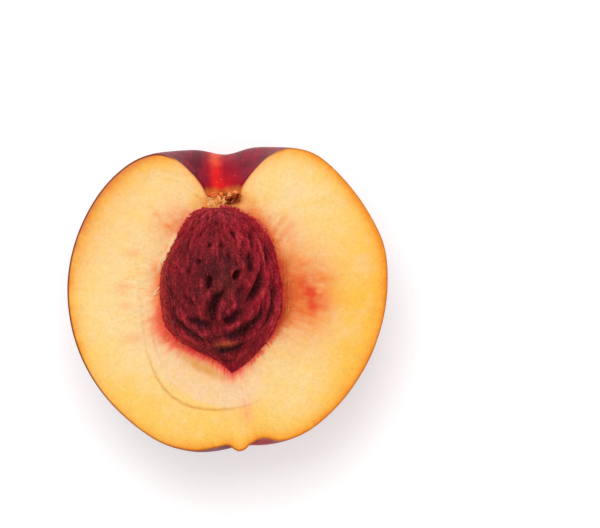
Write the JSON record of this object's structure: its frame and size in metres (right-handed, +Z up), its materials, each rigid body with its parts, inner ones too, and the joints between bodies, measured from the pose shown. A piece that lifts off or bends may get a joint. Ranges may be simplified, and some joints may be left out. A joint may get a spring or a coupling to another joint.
{
  "type": "half nectarine with stone",
  "caption": "Half of a nectarine, cut from stem to tip, lying on its back with its pale flesh and furrowed stone facing up.",
  "frame": {"origin": "middle of the small flat spot that the half rests on, under its rounded back", "axes": "+Z up, square to the cut face; +Y towards the stem end; +X to the right, seen from above"},
  "size_m": [0.0683, 0.0651, 0.0412],
  "materials": {
    "flesh": "satin",
    "stone": "matte"
  },
  "bodies": {
    "root": {"fruit_half": "flesh", "stone": "stone"}
  },
  "joints": []
}
